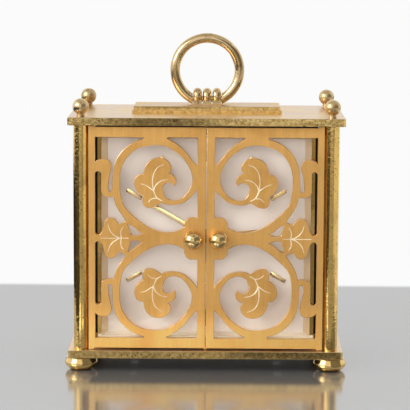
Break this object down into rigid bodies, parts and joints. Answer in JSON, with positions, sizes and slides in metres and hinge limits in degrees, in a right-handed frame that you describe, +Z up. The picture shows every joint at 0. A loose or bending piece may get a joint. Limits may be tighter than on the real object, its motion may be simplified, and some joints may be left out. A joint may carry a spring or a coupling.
{
  "type": "desk clock",
  "caption": "Gilt desk clock: square dial and wound movement in a case between plates on round columns, behind hinged doors of pierced scrollwork, with a folding carrying ring on top.",
  "frame": {"origin": "on the surface the clock stands on, below the middle of its plates", "axes": "+Z up, -Y to the front, where the doors and dial are, +X to the right as seen from the front"},
  "size_m": [0.1336, 0.0841, 0.1581],
  "materials": {
    "plate_gilt": "brushed",
    "polished_gilt": "polished",
    "door_gilt": "satin",
    "bezel_gilt": "polished",
    "surround_gilt": "satin",
    "case_gilt": "satin",
    "case_black": "satin",
    "dial_silver": "satin",
    "mark_gilt": "polished",
    "clear_glass": "clear",
    "movement_brass": "satin",
    "steel": "satin",
    "spring_steel": "blued",
    "key_brass": "polished"
  },
  "bodies": {
    "frame": {"base_plate": "plate_gilt", "top_plate": "plate_gilt", "column_front_left": "polished_gilt", "column_front_right": "polished_gilt", "column_rear_left": "polished_gilt", "column_rear_right": "polished_gilt", "ball_finials": "polished_gilt", "feet": "polished_gilt", "plinth_lower": "plate_gilt", "plinth_upper": "plate_gilt", "plate_screws": "steel", "handle_knuckles": "polished_gilt", "door_stops": "polished_gilt", "bezel_frame": "bezel_gilt", "dial_glass": "clear_glass", "dial_surround": "surround_gilt", "dial_plate": "dial_silver", "hour_markers": "mark_gilt", "dial_screws": "steel", "case_shell": "case_black", "case_spacers": "polished_gilt", "rear_cover": "case_gilt", "rear_cover_screws": "steel", "movement_front_plate": "movement_brass", "movement_back_plate": "movement_brass", "movement_pillars": "steel", "movement_posts": "movement_brass", "movement_screws": "steel", "click_spring": "steel", "hairspring": "spring_steel", "balance_cock": "movement_brass"},
    "carrying_ring": {"ring_handle": "polished_gilt"},
    "left_door": {"door_left": "door_gilt", "door_knob_left": "polished_gilt", "door_pins_left": "steel"},
    "right_door": {"door_right": "door_gilt", "door_knob_right": "polished_gilt", "door_pins_right": "steel"},
    "minute_work": {"centre_wheel": "movement_brass", "cannon_pinion": "movement_brass", "minute_hand": "mark_gilt", "hand_nut": "mark_gilt"},
    "hour_work": {"hour_wheel": "movement_brass", "hour_hand": "mark_gilt"},
    "minute_wheel_body": {"minute_wheel": "movement_brass"},
    "hand_setter": {"setting_arbor": "steel", "setting_knob": "key_brass"},
    "spring_barrel": {"barrel": "movement_brass", "barrel_cover": "movement_brass", "mainspring": "spring_steel"},
    "winder": {"barrel_arbor": "steel", "ratchet_wheel": "steel", "winding_key": "key_brass"},
    "click_body": {"click": "steel"},
    "third_wheel_body": {"third_wheel": "movement_brass"},
    "fourth_wheel_body": {"fourth_wheel": "movement_brass"},
    "escape_wheel_body": {"escape_wheel": "steel"},
    "pallet_body": {"pallet_lever": "steel"},
    "balance_body": {"balance_wheel": "movement_brass"},
    "index_body": {"regulator_index": "steel"}
  },
  "joints": [
    {"name": "door_left_hinge", "type": "hinge", "parent": "frame", "child": "left_door", "pos_m": [-0.05398, -0.0318, 0.06325], "axis": [0, 0, -1], "range_deg": [0, 135]},
    {"name": "door_right_hinge", "type": "hinge", "parent": "frame", "child": "right_door", "pos_m": [0.05398, -0.0318, 0.06325], "axis": [0, 0, 1], "range_deg": [0, 135]},
    {"name": "ring_hinge", "type": "hinge", "parent": "frame", "child": "carrying_ring", "pos_m": [0, 0, 0.12652], "axis": [1, 0, 0], "range_deg": [-90, 90]},
    {"name": "minute_hand_turn", "type": "hinge", "parent": "frame", "child": "minute_work", "pos_m": [0, 0, 0.06325], "axis": [0, 1, 0], "continuous": true},
    {"name": "hour_hand_turn", "type": "hinge", "parent": "frame", "child": "hour_work", "pos_m": [0, 0, 0.06325], "axis": [0, 1, 0], "continuous": true},
    {"name": "minute_wheel_turn", "type": "hinge", "parent": "frame", "child": "minute_wheel_body", "pos_m": [0, 0, 0.05125], "axis": [0, 1, 0], "continuous": true},
    {"name": "setting_knob_turn", "type": "hinge", "parent": "frame", "child": "hand_setter", "pos_m": [0.00849, 0, 0.04276], "axis": [0, 1, 0], "continuous": true},
    {"name": "barrel_turn", "type": "hinge", "parent": "frame", "child": "spring_barrel", "pos_m": [-0.01732, 0, 0.04593], "axis": [0, 1, 0], "continuous": true},
    {"name": "third_wheel_turn", "type": "hinge", "parent": "frame", "child": "third_wheel_body", "pos_m": [0.01674, 0, 0.0662], "axis": [0, 1, 0], "continuous": true},
    {"name": "fourth_wheel_turn", "type": "hinge", "parent": "frame", "child": "fourth_wheel_body", "pos_m": [0.01401, 0, 0.08171], "axis": [0, 1, 0], "continuous": true},
    {"name": "escape_wheel_turn", "type": "hinge", "parent": "frame", "child": "escape_wheel_body", "pos_m": [0.00101, 0, 0.084], "axis": [0, 1, 0], "continuous": true},
    {"name": "winding_key_turn", "type": "hinge", "parent": "frame", "child": "winder", "pos_m": [-0.01732, 0, 0.04593], "axis": [0, 1, 0], "continuous": true},
    {"name": "click_lift", "type": "hinge", "parent": "frame", "child": "click_body", "pos_m": [-0.01899, 0, 0.05538], "axis": [0, -1, 0], "range_deg": [0, 6], "stiffness_Nm_per_rad": 0.00002},
    {"name": "pallet_swing", "type": "hinge", "parent": "frame", "child": "pallet_body", "pos_m": [-0.00589, 0, 0.08522], "axis": [0, 1, 0], "range_deg": [-4, 4]},
    {"name": "balance_swing", "type": "hinge", "parent": "frame", "child": "balance_body", "pos_m": [-0.01475, 0, 0.08678], "axis": [0, 1, 0], "range_deg": [-135, 135], "stiffness_Nm_per_rad": 0.000001},
    {"name": "index_turn", "type": "hinge", "parent": "frame", "child": "index_body", "pos_m": [-0.01475, 0, 0.08678], "axis": [0, 1, 0], "range_deg": [-20, 20]}
  ],
  "couplings": [
    {"joint": "hour_hand_turn", "follows": "minute_hand_turn", "ratio": 0.083333},
    {"joint": "minute_wheel_turn", "follows": "minute_hand_turn", "ratio": -0.33333},
    {"joint": "setting_knob_turn", "follows": "minute_hand_turn", "ratio": 1},
    {"joint": "barrel_turn", "follows": "minute_hand_turn", "ratio": -0.16667},
    {"joint": "third_wheel_turn", "follows": "minute_hand_turn", "ratio": -7.5},
    {"joint": "fourth_wheel_turn", "follows": "minute_hand_turn", "ratio": 60},
    {"joint": "escape_wheel_turn", "follows": "minute_hand_turn", "ratio": -600}
  ]
}
